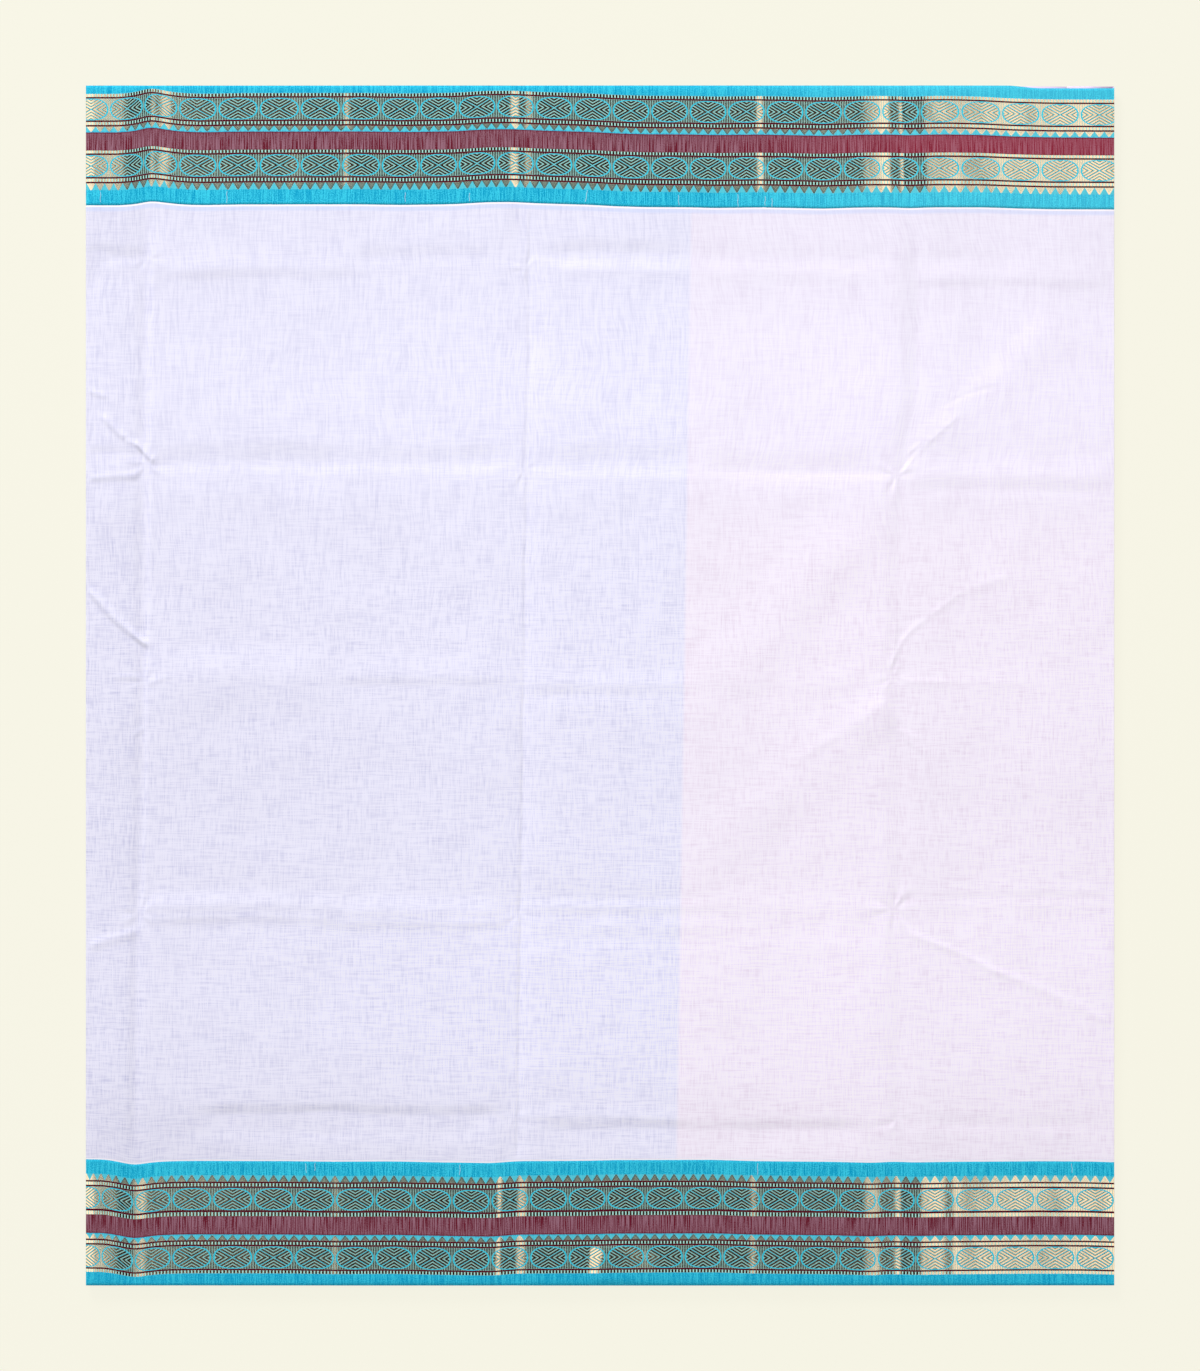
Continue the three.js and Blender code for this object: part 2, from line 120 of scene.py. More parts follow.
# Ridges and troughs in millimetres: start, end, bow to the left, height, reach to the left and to
# the right, fade at the ends, and how sharp the crest is, from 0 to 1
FOLDS = [
    # First shelf fold from the far border
    (-496, 413, -436, 412, 0, -1.8, 14, 44, 10, 0.4),
    (-496, 405, -436, 404, 0, 0.4, 8, 14, 12, 0.2),
    (-437, 412, -250, 410, 2, -0.45, 16, 20, 50, 0.1),
    (-437, 401, -220, 402, 2, 0.95, 26, 12, 50, 0.3),
    (-260, 413, -74, 414, -2, -0.6, 16, 26, 50, 0.3),
    (-240, 402, -74, 402, 2, 0.3, 14, 12, 50, 0.3),
    (-72, 416, 100, 414, 2, -1.1, 16, 24, 36, 0.3),
    (-72, 405, 100, 402, -2, 0.55, 10, 10, 30, 0.4),
    (80, 413, 290, 410, 2, -0.55, 18, 22, 50, 0.2),
    (80, 402, 290, 400, -2, 0.35, 12, 14, 50, 0.3),
    (292, 411, 410, 409, 1, -0.3, 12, 18, 40, 0.3),
    (292, 393, 495, 391, 1, 0.65, 24, 10, 36, 0.3),
    # Second shelf fold
    (-496, 224, -437, 220, 2, -0.55, 8, 16, 12, 0.5),
    (-496, 200, -440, 203, 0, 0.75, 5, 4, 12, 0.8),
    (-496, 194, -440, 197, 0, -0.35, 4, 18, 14, 0.5),
    (-436, 213, -250, 216, 2, -1.4, 22, 34, 22, 0.3),
    (-436, 205, -250, 203, 1, 0.35, 9, 14, 26, 0.4),
    (-270, 216, -78, 217, -2, -1.0, 20, 28, 40, 0.2),
    (-270, 204, -78, 202, 2, 0.5, 10, 14, 30, 0.3),
    (-74, 214, 105, 214, 2, -1.0, 22, 24, 30, 0.3),
    (-74, 200, 105, 198, 1, 0.35, 9, 5, 30, 0.5),
    (95, 208, 284, 206, -1, -1.0, 24, 16, 40, 0.3),
    (95, 201, 284, 198, 1, 0.25, 6, 8, 30, 0.5),
    (286, 205, 495, 203, -1, 0.65, 22, 16, 30, 0.4),
    (286, 188, 495, 186, 1, -0.3, 12, 9, 26, 0.4),
    # Third shelf fold
    (-438, 6, -250, 5, 3, 1.4, 34, 46, 40, 0.2),
    (-270, 7, -78, 7, 2, 0.8, 28, 10, 60, 0.2),
    (-76, 4, 105, 3, -2, 0.5, 14, 12, 36, 0.4),
    (-76, -12, 40, -11, 2, -0.35, 10, 10, 30, 0.4),
    (90, 4, 282, 6, -2, 0.25, 20, 16, 50, 0.2),
    (286, 6, 430, 4, 1, 0.18, 12, 8, 26, 0.3),
    (288, 4.5, 420, 2.5, 0, 0.25, 3.4, 14, 30, 0.6),
    (288, 4.5, 338, 4, 0, 0.35, 3.2, 12, 8, 0.6),
    (236, -44, 284, -20, 2, 1.2, 24, 30, 14, 0.1),
    # Fourth shelf fold
    (-443, -214, -250, -214, 2, 1.3, 17, 24, 22, 0.3),
    (-443, -225, -250, -225, 2, 0.4, 5, 7, 26, 0.6),
    (-270, -219, -80, -220, 2, 1.1, 18, 23, 40, 0.3),
    (-270, -230, -80, -230, 2, 0.35, 5, 8, 30, 0.6),
    (-78, -204, 110, -205, -2, -0.45, 18, 9, 36, 0.3),
    (-78, -211, 110, -210, -3, 0.25, 7, 10, 30, 0.4),
    (-60, -221, 130, -220, -2, -0.35, 12, 14, 30, 0.4),
    (-70, -246, 140, -246, 2, -0.4, 16, 14, 40, 0.2),
    (100, -208, 281, -212, -4, 0.45, 20, 16, 50, 0.2),
    (130, -243, 284, -242, 2, -0.25, 20, 10, 50, 0.2),
    (285, -198, 495, -198, 1, 0.3, 10, 10, 20, 0.4),
    (285, -211, 495, -211, -1, 0.35, 8, 16, 24, 0.4),
    # Fifth shelf fold
    (-398, -413, -250, -413, -1, -1.5, 11, 36, 46, 0.4),
    (-290, -413, -86, -414, -1, -1.5, 11, 36, 40, 0.4),
    (-434, -430, -100, -430, 0, -0.3, 14, 12, 40, 0.2),
    (-84, -416, 90, -418, 1, 0.6, 16, 6, 30, 0.4),
    (-66, -429, 110, -429, 1, -1.0, 9, 36, 36, 0.4),
    (90, -429, 272, -429, 1, -1.25, 11, 34, 36, 0.4),
    (262, -426, 288, -417, -2, -0.7, 7, 5, 10, 0.4),
    (290, -424, 495, -426, 1, -0.5, 14, 10, 50, 0.3),
    # The sharp lines of the first and the middle valley
    (-430.5, 450, -440.5, -240, 1, 0.35, 8, 2.2, 40, 0.6),
    (-67.2, 462, -80, -456, 0, -0.6, 13, 2.6, 14, 0.5),
    # A dent in the near border
    (8, -538, 4, -578, 0, 6.6, 60, 20, 8, 0.0),
    # Slanting folds
    (-497, 286, -474, 278, 0, 0.8, 3.5, 3, 6, 0.5),
    (-480, 262, -457, 237, -1, 2.4, 4.5, 3, 7, 0.5),
    (-459, 237, -446, 233, 0, 0.9, 3.5, 3, 4, 0.5),
    (-449, 235, -430, 216, 0, 2.4, 4.5, 3, 5, 0.5),
    (-496, 94, -435, 37, -3, 2.2, 6, 3.5, 8, 0.5),
    (-471, 9, -440, 8.5, 0, 0.4, 3, 5, 6, 0.6),
    (-437, 1, -412, 11, 0, 0.5, 3, 4, 6, 0.6),
    (-452, -49, -438, -41, 0, 0.6, 3, 4, 5, 0.7),
    (-495, -252, -443, -235, 0, 1.2, 6, 10, 12, 0.6),
    (291, 205, 349, 264, 2.5, 0.55, 2.6, 3.4, 14, 0.8),
    (296, 223, 318, 241, 0, 0.5, 3, 3, 6, 0.7),
    (329, 268, 384, 289, 3, -0.5, 3, 3.4, 12, 0.8),
    (300, 225, 451, 366, -6, 1.0, 22, 42, 60, 0.2),
    (283, 190, 65, -45, 8, 1.0, 40, 46, 90, 0.0),
    (283, -8, 77, -180, 6, 0.9, 36, 44, 80, 0.0),
    (283, -11, 181, -78, 2, 0.5, 5, 9, 26, 0.5),
    (280, 16, 318, 67, 7, 0.75, 3.4, 5, 12, 0.7),
    (316, 66, 352, 93, 0, 0.75, 3.4, 5, 12, 0.7),
    (350, 92, 400, 108, 0, 0.4, 8, 10, 20, 0.5),
    (294, -237, 390, -279, 2, 0.9, 4, 7, 14, 0.7),
    (376, -272, 495, -326, 2, 0.8, 4, 8, 14, 0.7),
    (242, 66, 280, 37, 0, 0.5, 4, 5, 12, 0.6),
    (286, -42, 310, -52, 0, 1.0, 3, 4, 6, 0.6),
    (292, -49, 317, -65, -1, 1.1, 3, 3.4, 6, 0.6),
    (285, 62, 283, 17, 0, 0.6, 3, 4, 12, 0.6),
]

# Puckers where the shelf folds cross the valleys: x, y, height, reach in millimetres, and waves
PUCKERS = [
    (-437, 411, 0.45, 20, 5), (-437, 212, 0.6, 24, 6), (-440, 3, 0.35, 20, 5),
    (-443, -220, 0.5, 24, 6), (-72, 403, 0.5, 20, 5), (-74, 208, 0.5, 20, 6),
    (-79, -222, 0.5, 22, 5), (-83, -418, 0.3, 16, 5), (286, 203, 0.7, 26, 6),
    (283, 8, 0.45, 20, 6), (283, -216, 0.75, 28, 6), (286, -418, 0.35, 16, 5),
]

# Ripple of the seam between field and border, as (x, offset) in millimetres
FAR_RIPPLE = [
    (-497, -0.7), (-464, -0.9), (-448, 0.3), (-434, 3.7), (-420, 1.9), (-405, 0.2), (-385, -0.6),
    (-345, 0.1), (-230, 0.1), (-190, -0.5), (-140, 0.2), (-110, 2.1), (-80, 2.3), (-60, 1.1),
    (-10, -0.4), (15, -1.8), (45, -2.7), (90, -2.9), (110, -3.5), (155, -2.9), (190, -3.6),
    (215, -4.2), (255, -3.0), (280, -2.8), (300, -3.6), (325, -2.9), (372, -2.8), (400, -3.7),
    (435, -4.5), (497, -4.6),
]
NEAR_RIPPLE = [
    (-497, 2.8), (-478, 2.8), (-464, 0.4), (-450, -2.9), (-432, -0.1), (-417, 0.9), (-395, 1.3),
    (-300, 1.2), (-258, 0.6), (-200, 1.0), (-163, 0.2), (-105, -0.7), (-90, 0.3), (-75, 1.3),
    (-10, 1.6), (12, 2.3), (110, 2.5), (147, 1.3), (190, 0.9), (225, 0.6), (263, -0.4), (282, 0.7),
    (301, 0.1), (340, 0.6), (420, 1.0), (470, 0.7), (497, -0.1),
]
RIPPLE_FADE = 70 * MM
# By the first valley the far border's stripes are wider by this share
STRIPE_DIP = {"x": -434 * MM, "reach": 16 * MM, "share": 0.01295}

# Count of woven ovals along each border, as (x in millimetres, count). NEAR_COUNT is added to the
# near border's, which tells the two apart
FAR_OVALS = [(-491, 0), (-456, 1), (-425, 2), (-389, 3), (-230, 7), (327, 22), (368, 23), (482, 26)]
NEAR_OVALS = [(-496, 0), (-467, 1), (-433, 2), (-394, 3), (-236, 7), (323, 22), (362, 23), (478, 26)]
OVAL_LENGTH = 37.6 * MM
NEAR_COUNT = 100

# How far out a stripe lies, in millimetres from the seam, and how far out it is drawn
OUT_FAR = [(0, 0), (122, 122)]
OUT_NEAR = [
    (0, 0), (21.1, 22.4), (48.4, 49.5), (53.2, 52.9), (71, 70.4), (82, 81.7), (105, 104), (122, 121),
]
# Toward its right end the far border narrows by this share
FAR_NARROWING = {"start": 330 * MM, "end": 400 * MM, "share": 0.014}

# Loose pale threads on the inner cyan stripe: x, start and end out from the seam, lean
FAR_THREADS = [
    (-482, 3, 13, 0.2), (-360, 2, 13, 0), (-188, 3, 12, 0.1), (-126, 2, 10, 0), (-14, 3, 14, 1.8),
    (76, 2, 12, -0.4), (133, 1, 13, 0), (159, 2, 11, 0.6), (166, 1, 9, 0),
]
NEAR_THREADS = [
    (-284, 2, 11, 0.5), (-275, 1, 9, 0), (-135, 2, 12, -0.4), (152, 2, 13, 0), (455, 2, 11, 0.8),
]
THREAD_RADIUS = 0.25 * MM


def smooth(share):
    """0 below 0, 1 above 1, and a smooth rise between them."""
    t = np.clip(share, 0, 1)
    return t * t * (3 - 2 * t)


def softened(table, softness):
    """The line through a table of (place, value), with its corners rounded by a bell of that width."""
    places, values = np.array(sorted(table), float).T
    step, margin = 0.5, 40
    fine = np.arange(places[0] - margin, places[-1] + margin, step)
    reach = np.arange(-4 * softness, 4 * softness + step, step)
    bell = np.exp(-0.5 * (reach / softness) ** 2)
    line = np.interp(fine, places, values)
    padded = np.pad(line, len(bell) // 2, mode="edge")
    rounded = np.convolve(padded, bell / bell.sum(), mode="valid")[: len(fine)]
    return lambda place: np.interp(place / MM, fine, rounded) * MM


far_height = softened(FAR_HEIGHTS, 1.8)
field_height = softened(FIELD_HEIGHTS, 2.5)
near_height = softened(NEAR_HEIGHTS, 1.8)
far_ripple = softened(FAR_RIPPLE, 5)
near_ripple = softened(NEAR_RIPPLE, 5)
valley_lines = [softened(line, 12) for line in VALLEYS]


def crease_places(y):
    """x of the left end, the three valleys and the right end at y, along a last axis of five."""
    y = np.asarray(y, float)
    ends = np.full_like(y, HALF_LENGTH)
    return np.stack([-ends, *(line(y) for line in valley_lines), ends], axis=-1)


def panel_place(x, y):
    """0 at the left end, 1, 2 and 3 at the valleys, 4 at the right end, and even in between."""
    creases = crease_places(y)
    return sum(
        np.clip((x - creases[..., k]) / (creases[..., k + 1] - creases[..., k]), 0, 1) for k in range(4)
    )


def fold_height(x, y, fold):
    """A bowed ridge: its height falls from the crest to 0 at its reach, and fades out at its ends.

    Slow waves along it make its height uneven and let its crest wander.
    """
    x0, y0, x1, y1, bow, height, left, right, fade, sharp = fold
    length = math.hypot(x1 - x0, y1 - y0)
    ahead = ((x - x0) * (x1 - x0) + (y - y0) * (y1 - y0)) / length
    share = np.clip(ahead / length, 0, 1)
    wander = 0.45 * np.sin(ahead / 23 + x0) + 0.35 * np.sin(ahead / 8.7 + y0)
    aside = ((y - y0) * (x1 - x0) - (x - x0) * (y1 - y0)) / length
    aside = aside - bow * 4 * share * (1 - share) - wander
    uneven = 0.16 * np.sin(ahead / 31 + y1) + 0.12 * np.sin(ahead / 11 + x0) + 0.1 * np.sin(ahead / 5.3)
    height = height * (1 + uneven)
    away = np.clip(np.abs(aside) / np.where(aside > 0, left, right), 0, 1)
    crest = sharp * (1 - away) ** 2 + (1 - sharp) * (1 - away * away) ** 2
    return height * crest * smooth(np.minimum(ahead, length - ahead) / fade + 0.15)


def pucker_height(x, y, pucker):
    """Rays that run out from a crossing, highest a third of the way to their reach."""
    x0, y0, height, reach, waves = pucker
    away = np.hypot(x - x0, y - y0) / reach
    turn = np.arctan2(y - y0, x - x0)
    rays = np.cos(waves * turn + x0) * 0.6 + np.cos((waves + 3) * turn + y0) * 0.4
    return height * rays * 3 * away * np.exp(-3.2 * away * away)


def crumple_height(x, y):
    """Faint waves of many lengths and directions, as limp cloth keeps after it is unfolded.

    Each is a bent sine wave, with a height in proportion to its length.
    """
    shortest, longest, waves, steepness = 16, 190, 26, 0.00065
    dice = np.random.default_rng(11)
    total = np.zeros_like(x)
    for length in np.geomspace(shortest, longest, waves):
        turn, phase = dice.uniform(0, math.pi), dice.uniform(0, 2 * math.pi)
        across = x * math.cos(turn) + y * math.sin(turn)
        bend = np.sin((x * math.sin(turn) - y * math.cos(turn)) / (2.3 * length) + phase)
        total += length * steepness * np.sin(2 * math.pi * across / length + 2 * bend + phase)
    return total


def relief(x, y):
    """Height of the top layer over the stack: lengthwise heights, folds, puckers and crumples."""
    place = panel_place(x, y)
    far, middle, near = (
        line(np.interp(place, np.arange(5), crease_places(at)))
        for line, at in ((far_height, HALF_WIDTH), (field_height, 0.0), (near_height, -HALF_WIDTH))
    )
    far_share = smooth((y - FAR_SEAM) / HEIGHT_BLEND + 1)
    near_share = smooth((NEAR_SEAM - y) / HEIGHT_BLEND + 1)
    long_heights = middle + (far - middle) * far_share + (near - middle) * near_share
    x_mm, y_mm = x / MM, y / MM
    cross = sum(fold_height(x_mm, y_mm, fold) for fold in FOLDS)
    cross = cross + sum(pucker_height(x_mm, y_mm, pucker) for pucker in PUCKERS)
    cross = (cross + crumple_height(x_mm, y_mm)) * MM
    from_end = smooth((HALF_LENGTH - np.abs(x)) / END_TAPER)
    from_selvedge = 0.4 + 0.6 * smooth((HALF_WIDTH - np.abs(y)) / SELVEDGE_TAPER)
    in_border = np.maximum(smooth((y - FAR_SEAM) / STIFFENING), smooth((NEAR_SEAM - y) / STIFFENING))
    cross = cross * from_end * (1 - 0.75 * in_border)
    return np.maximum(long_heights + cross, 0) * from_selvedge


def layer_base(layer):
    """Height of a layer's underside, with layer 1 on top."""
    return (LAYERS - layer) * PITCH


def fold_between(upper, lower, side, inset=0.0):
    """Centre and radius of a fold that joins two layers: side is -1 at the left, 1 at the right."""
    top, base = layer_base(upper) + WALL, layer_base(lower)
    radius = (top - base) / 2
    return {"x": side * (HALF_LENGTH - inset - radius), "z": (top + base) / 2, "radius": radius}


LEFT_FOLD = fold_between(1, 4, -1)
RIGHT_FOLD = fold_between(1, 2, 1)
LOWER_FOLD = fold_between(3, 6, 1, LOWER_FOLD_INSET)
TOP = layer_base(1) + WALL


def fold_arc(fold, start, end):
    """Points (x, z) of a half turn round a fold, between two angles in degrees.

    The turn is pressed: it is narrower than it is high, and keeps to the end of the fold.
    """
    turn = np.radians(np.linspace(start, end, FOLD_STEPS + 1))
    out = math.copysign(1, fold["x"])
    narrow = fold["radius"] * PRESSED
    x = fold["x"] + out * (fold["radius"] - narrow) + narrow * np.cos(turn)
    return np.stack([x, fold["z"] + fold["radius"] * np.sin(turn)], -1)


def distances(path):
    """How far along a path (x, z) each of its points lies."""
    return np.concatenate([[0], np.cumsum(np.hypot(*np.diff(path, axis=0).T))])


def spread(start, end, dense, wide):
    """Places from start to end: in each dense stretch (from, to, step) at its step, and away from
    them further and further apart, up to wide."""
    fine = np.linspace(start, end, 8000)
    step = np.full_like(fine, wide)
    for low, high, close in dense:
        away = np.maximum(np.maximum(low - fine, fine - high), 0)
        step = np.minimum(step, close + away * STEP_GROWTH)
    gone = np.concatenate([[0], np.cumsum(np.diff(fine) / step[1:])])
    return np.interp(np.linspace(0, gone[-1], int(gone[-1]) + 2), gone, fine)


def carried(place, y):
    """x at each row y of the columns at a panel place, so the columns follow the valleys."""
    creases = crease_places(y)
    panel = np.clip(place.astype(int), 0, 3)
    share = place - panel
    return creases[:, panel] * (1 - share) + creases[:, panel + 1] * share


def seam_offset(x, y):
    """How far the ripple of the seams moves a point in y, fading out into the field."""
    far = far_ripple(x) * smooth(1 - (FAR_SEAM - y) / RIPPLE_FADE)
    near = near_ripple(x) * smooth(1 - (y - NEAR_SEAM) / RIPPLE_FADE)
    return far + near


def far_selvedge(x):
    """y of the top layer's far selvedge, which draws back near the right end."""
    drawn = smooth((x - SELVEDGE_DRAW["start"]) / (SELVEDGE_DRAW["end"] - SELVEDGE_DRAW["start"]))
    return HALF_WIDTH - SELVEDGE_DRAW["depth"] * drawn


def top_stretch(columns, rows, row_y):
    """The top layer's grid: turned in under the left fold, along the top, and in under the right one.

    columns are places along the far edge, rows the y of each row, which row_y moves at each x.
    Returns the points and the distance along the cloth of each column.
    """
    place = np.interp(columns, crease_places(HALF_WIDTH), np.arange(5))
    x = carried(place, rows)
    left = np.concatenate([[[TURNED_IN - HALF_LENGTH, layer_base(4)]], fold_arc(LEFT_FOLD, 270, 90)])
    right = np.concatenate([fold_arc(RIGHT_FOLD, 90, -90), [[HALF_LENGTH - TURNED_IN, layer_base(2)]]])
    first, last = left[-1, 0], right[0, 0]
    left, right = left[:-1], right[1:]
    x = np.clip(x, first, last)

    def with_ends(part, middle):
        """The middle's columns, between the x or the z of the turned-in ends."""
        ends = [np.tile(end[:, part], (len(rows), 1)) for end in (left, right)]
        return np.concatenate([ends[0], middle, ends[1]], axis=1)

    all_x = with_ends(0, x)
    y = row_y(all_x)
    z = with_ends(1, TOP + relief(x, y[:, len(left) : len(left) + x.shape[1]]))
    flat_columns = np.clip(columns, first, last)
    path = np.concatenate([left, np.stack([flat_columns, np.full(len(columns), TOP)], -1), right])
    along = distances(path)
    along += flat_columns[0] - along[len(left)]
    return np.stack([all_x, y, z], axis=-1), along


def grid_faces(rows, columns, first):
    """Corner numbers of the quads of a grid whose first vertex has the number first."""
    corner = first + np.arange(rows * columns).reshape(rows, columns)
    corners = [corner[:-1, :-1], corner[:-1, 1:], corner[1:, 1:], corner[1:, :-1]]
    return np.stack(corners, axis=-1).reshape(-1, 4)


def placed(name, data):
    """A new object at the origin, in the scene."""
    thing = bpy.data.objects.new(name, data)
    bpy.context.scene.collection.objects.link(thing)
    return thing


def cloth_piece(name, grids, material, nodes=()):
    """A mesh of one or more grids, each (points, along, out), with a UV map of along and out."""
    points, uv, faces, first = [], [], [], 0
    for grid, along, out in grids:
        points.append(grid.reshape(-1, 3))
        uv.append(np.stack([np.broadcast_to(along, out.shape), out], -1).reshape(-1, 2))
        faces.append(grid_faces(*out.shape, first))
        first += out.size
    points, uv, faces = np.concatenate(points), np.concatenate(uv), np.concatenate(faces)
    mesh = bpy.data.meshes.new(name)
    mesh.from_pydata(points.tolist(), [], faces.tolist())
    layer = mesh.uv_layers.new(name="cloth")
    layer.data.foreach_set("uv", uv[faces.ravel()].ravel())
    mesh.polygons.foreach_set("use_smooth", np.ones(len(faces), bool))
    mesh.materials.append(material)
    piece = placed(name, mesh)
    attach(piece, "root")
    if nodes:
        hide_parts(*nodes)
    return piece


def thicken(piece, thickness):
    """Gives a sheet its thickness, inwards from the face that shows."""
    wall = piece.modifiers.new("cloth thickness", "SOLIDIFY")
    wall.thickness = thickness
    wall.offset = -1
    wall.use_rim = True


class Amount:
    """A number that varies over the surface: a socket of a node tree, with arithmetic as Math nodes."""

    def __init__(self, tree, socket):
        self.tree, self.socket = tree, socket

    def math(self, operation, *others, clamp=False):
        node = self.tree.nodes.new("ShaderNodeMath")
        node.operation = operation
        node.use_clamp = clamp
        for socket, value in zip(node.inputs, (self, *others)):
            plug(self.tree, value, socket)
        return Amount(self.tree, node.outputs[0])

    def __add__(self, other):
        return self.math("ADD", other)

    def __sub__(self, other):
        return self.math("SUBTRACT", other)

    def __rsub__(self, other):
        return self.math("MULTIPLY_ADD", -1.0, other)

    def __mul__(self, other):
        return self.math("MULTIPLY", other)

    def __truediv__(self, other):
        return self.math("DIVIDE", other)

    __radd__, __rmul__ = __add__, __mul__

    def size(self):
        return self.math("ABSOLUTE")

    def part(self):
        return self.math("FRACT")

    def least(self, other):
        return self.math("MINIMUM", other)

    def most(self, other):
        return self.math("MAXIMUM", other)

    def rise(self, start, end, low=0.0, high=1.0):
        """low before start, high after end, and a smooth rise between."""
        node = self.tree.nodes.new("ShaderNodeMapRange")
        node.interpolation_type = "SMOOTHSTEP"
        for socket, value in zip(node.inputs, (self, start, end, low, high)):
            plug(self.tree, value, socket)
        return Amount(self.tree, node.outputs["Result"])

    def rise_evenly(self, start, end):
        """0 before start, 1 after end, and an even rise between."""
        return self.math("MULTIPLY_ADD", 1 / (end - start), -start / (end - start), clamp=True)

    def within(self, start, end, soft):
        """1 between start and end and 0 outside, with edges of the width soft."""
        half = soft / 2
        return self.rise(start - half, start + half) * self.rise(end - half, end + half, 1.0, 0.0)


def plug(tree, value, socket):
    """Links a socket or an Amount to an input, or sets the input to a number or a colour."""
    if isinstance(value, Amount):
        tree.links.new(value.socket, socket)
    elif isinstance(value, bpy.types.NodeSocket):
        tree.links.new(value, socket)
    elif isinstance(value, tuple):
        socket.default_value = (*value, 1.0)
    else:
        socket.default_value = value


def mix_colour(tree, share, first, second):
    """first where share is 0 and second where it is 1."""
    node = tree.nodes.new("ShaderNodeMix")
    node.data_type = "RGBA"
    inputs = [s for s in node.inputs if s.enabled]
    for socket, value in zip(inputs, (share, first, second)):
        plug(tree, value, socket)
    return next(s for s in node.outputs if s.enabled)


def noise(tree, along, across, layer, detail=2.0, roughness=0.5):
    """Noise from 0 to 1 over two Amounts, on a layer of its own, as an Amount."""
    point = tree.nodes.new("ShaderNodeCombineXYZ")
    for socket, value in zip(point.inputs, (along, across, layer)):
        plug(tree, value, socket)
    node = tree.nodes.new("ShaderNodeTexNoise")
    tree.links.new(point.outputs[0], node.inputs["Vector"])
    for title, value in (("Scale", 1.0), ("Detail", detail), ("Roughness", roughness)):
        node.inputs[title].default_value = value
    return Amount(tree, node.outputs["Fac"])


def parts_of(tree, vector):
    """The three parts of a vector, as Amounts."""
    node = tree.nodes.new("ShaderNodeSeparateXYZ")
    tree.links.new(vector, node.inputs[0])
    return [Amount(tree, part) for part in node.outputs]


def new_group(name, inputs, outputs):
    """An empty shader node group: its tree, its inputs, and a function that sets its outputs."""
    tree = bpy.data.node_groups.new(name, "ShaderNodeTree")
    for way, sockets in (("INPUT", inputs), ("OUTPUT", outputs)):
        for title, kind in sockets.items():
            tree.interface.new_socket(title, in_out=way, socket_type="NodeSocket" + kind)
    entry = tree.nodes.new("NodeGroupInput")
    leave = tree.nodes.new("NodeGroupOutput")
    given = [Amount(tree, entry.outputs[title]) for title in inputs]
    return tree, given, lambda title, value: plug(tree, value, leave.inputs[title])


def use_group(tree, group, **values):
    """Places a group in a tree with its inputs set, and returns its outputs by name."""
    node = tree.nodes.new("ShaderNodeGroup")
    node.node_tree = group
    for title, value in values.items():
        plug(tree, value, node.inputs[title.capitalize()])
    return {socket.name: Amount(tree, socket) for socket in node.outputs}


def colour(red, green, blue):
    """Linear colour of an sRGB one from 0 to 255."""
    parts = np.array([red, green, blue]) / 255
    linear = np.where(parts <= 0.04045, parts / 12.92, ((parts + 0.055) / 1.055) ** 2.4)
    return tuple(linear.tolist())


CYAN = colour(0, 181, 218)
CYAN_DEEP = colour(0, 152, 198)
CYAN_PALE = colour(66, 212, 236)
CYAN_OUTER = colour(0, 150, 194)
# Painted sheen on the far border's cyan
CYAN_PAINTED_SHEEN = colour(120, 244, 255)
OVAL_LINE = colour(40, 204, 224)
MAROON_LINE = colour(82, 0, 24)
MAROON = colour(102, 20, 40)
MAROON_PALE = colour(150, 106, 122)
# Painted sheen on the far border's maroon band
MAROON_PAINTED_SHEEN = colour(190, 52, 76)
TEAL_GREY = colour(148, 206, 201)
# Painted shadow in the gaps beside the gold chevrons
GAP_SHADOW = colour(24, 48, 50)
DOT_GROUND = colour(170, 228, 220)
GOLD = colour(255, 221, 178)
WHITE_BLUE = colour(238, 236, 254)
WHITE_PINK = colour(247, 239, 253)
SHADOW_BLUE = colour(202, 201, 232)
SHADOW_PINK = colour(222, 203, 226)
UNDER_SELVEDGE = colour(234, 210, 248)
# Painted shadow by the far seam
SEAM_SHADOW_BLUE = colour(196, 210, 248)
SEAM_LINE = colour(252, 246, 253)
THREAD_BLUE = colour(150, 208, 226)
THREAD_WHITE = colour(214, 232, 238)
FLOOR_CREAM = colour(247, 245, 230)

# The border's stripes, in millimetres out from its seam with the field
STRIPES = {
    "teeth_in": (14.7, 21.4),
    "line_1": (21.2, 22.8),
    "dots_1": (22.8, 25.8),
    "line_2": (25.8, 27.4),
    "ovals_in": (27.4, 48.6),
    "line_3": (48.6, 50.2),
    "dots_2": (50.2, 52.9),
    "band": (52.9, 70.4),
    "teeth_out": (71.2, 76.2),
    "line_4": (76.0, 77.6),
    "dots_3": (77.6, 80.4),
    "line_5": (80.4, 82.0),
    "ovals_out": (82.0, 103.1),
    "line_6": (103.1, 104.6),
    "dots_4": (104.6, 107.5),
}
SOFT = 0.15
# Toward its right end the far border has a painted sheen, brighter between these counts of ovals
PAINTED_SHEEN_COUNTS = (14, 24)
# Chevrons: their spacing in millimetres, and how steep they are
CHEVRON_PITCH = 3.0
CHEVRON_SLOPE = 0.58
OVAL_POWER = 2.3


